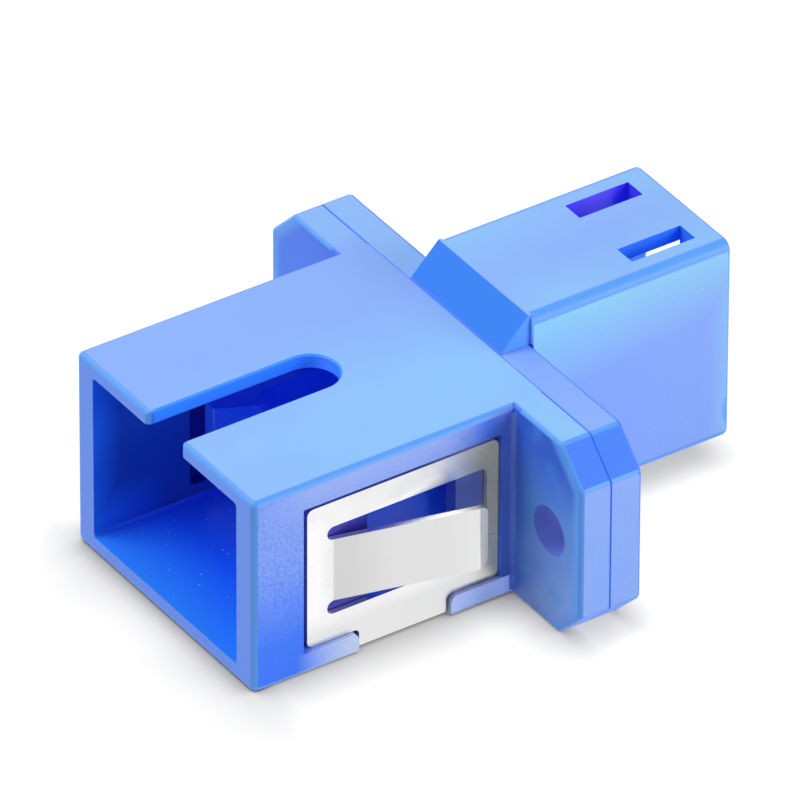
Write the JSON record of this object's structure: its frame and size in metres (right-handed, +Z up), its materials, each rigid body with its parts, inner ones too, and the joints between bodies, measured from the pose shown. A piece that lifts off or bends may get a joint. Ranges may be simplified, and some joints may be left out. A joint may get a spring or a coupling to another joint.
{
  "type": "hybrid fibre adapter",
  "caption": "Flanged SC-to-LC simplex fibre adapter: rectangular keyed port in front, smaller latch-window port behind, screw flange and spring panel clip.",
  "frame": {"origin": "on the optical axis, in the flange face that seats on the panel, midway between the two screw holes", "axes": "+Y along the optical axis from the SC port to the LC port; +Z up, away from the flat underside; X along the flange"},
  "size_m": [0.0226, 0.0253, 0.0108],
  "materials": {
    "housing_blue": "satin moulded",
    "insert_blue": "moulded",
    "spring_steel": "satin stainless sheet",
    "barrel_metal": "nickel plated",
    "zirconia": "polished"
  },
  "bodies": {
    "root": {"sc_housing": "housing_blue", "lc_housing": "housing_blue", "panel_clip": "spring_steel", "sc_latch_insert": "insert_blue", "lc_sleeve_holder": "insert_blue", "sleeve_barrel": "barrel_metal", "sc_split_sleeve": "zirconia", "lc_split_sleeve": "zirconia"}
  },
  "joints": []
}
